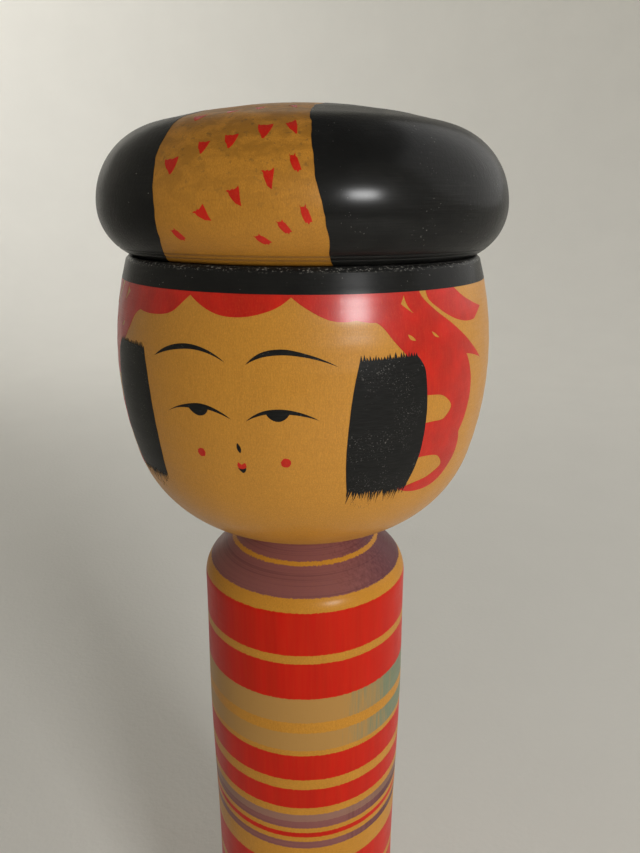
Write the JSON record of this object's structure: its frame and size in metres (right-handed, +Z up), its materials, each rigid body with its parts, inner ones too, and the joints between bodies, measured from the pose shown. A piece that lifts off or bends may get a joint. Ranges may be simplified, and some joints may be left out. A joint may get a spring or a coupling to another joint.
{
  "type": "turned wooden doll",
  "caption": "Turned wooden doll: straight striped trunk, large painted head that turns on a snap-in neck pin, and a separate black hair roll on top.",
  "frame": {"origin": "centre of the flat base that the doll stands on", "axes": "+Z up the turning axis; the face looks along -Y, so +X is the doll's own left; -Y is the front"},
  "size_m": [0.0936, 0.0936, 0.3021],
  "materials": {
    "dyed_trunk": "pale turned wood with red, green and purple dyed bands under wax, satin",
    "head_wood": "pale turned wood, aged to honey yellow, wax polished",
    "hair_black": "turned wood painted black and polished, with one bare strip",
    "pin_wood": "plain turned hardwood, unpolished",
    "black_ink": "black brush ink on wood",
    "red_ink": "red brush dye on wood"
  },
  "bodies": {
    "trunk": {"body": "dyed_trunk"},
    "turning_head": {"neck_pin": "pin_wood", "head": "head_wood", "roll_peg": "pin_wood", "hair_roll": "hair_black"}
  },
  "joints": [
    {"name": "head_turn", "type": "hinge", "parent": "trunk", "child": "turning_head", "pos_m": [0, 0, 0.2026], "axis": [0, 0, 1], "continuous": true}
  ]
}
